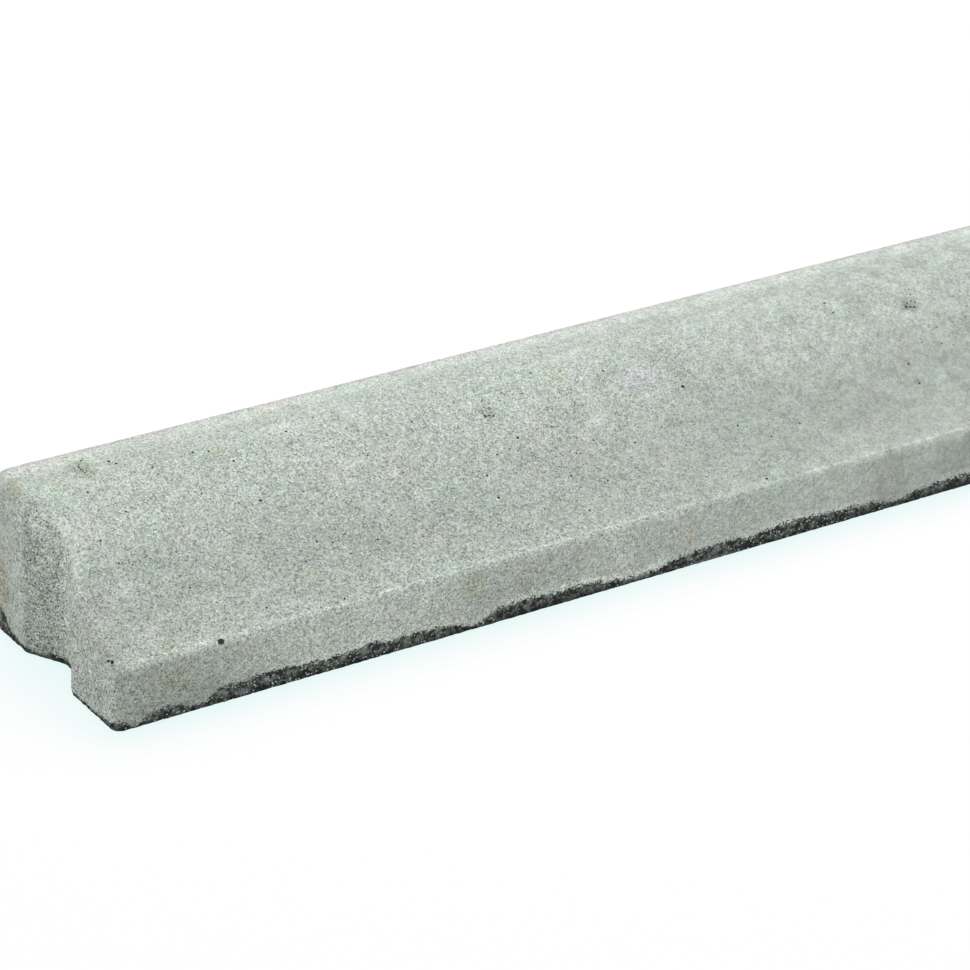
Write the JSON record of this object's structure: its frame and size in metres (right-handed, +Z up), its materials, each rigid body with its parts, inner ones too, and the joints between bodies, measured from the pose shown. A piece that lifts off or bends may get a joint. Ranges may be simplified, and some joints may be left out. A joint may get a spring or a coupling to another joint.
{
  "type": "concrete kerb stone",
  "caption": "Low concrete kerb stone with an upright toe, a sloped face rising to a level top, and a groove and tongue in its ends.",
  "frame": {"origin": "middle of the bed, the flat face the stone stands on, halfway between the two end faces", "axes": "+X along the stone from the grooved end to the tongued end, +Y from the road side to the back, +Z up"},
  "size_m": [1.0165, 0.2, 0.14],
  "materials": {
    "concrete": "matt cast concrete, fine sandy face, coarse dark core showing along the foot of the road face"
  },
  "bodies": {
    "root": {"kerb_stone": "concrete"}
  },
  "joints": []
}
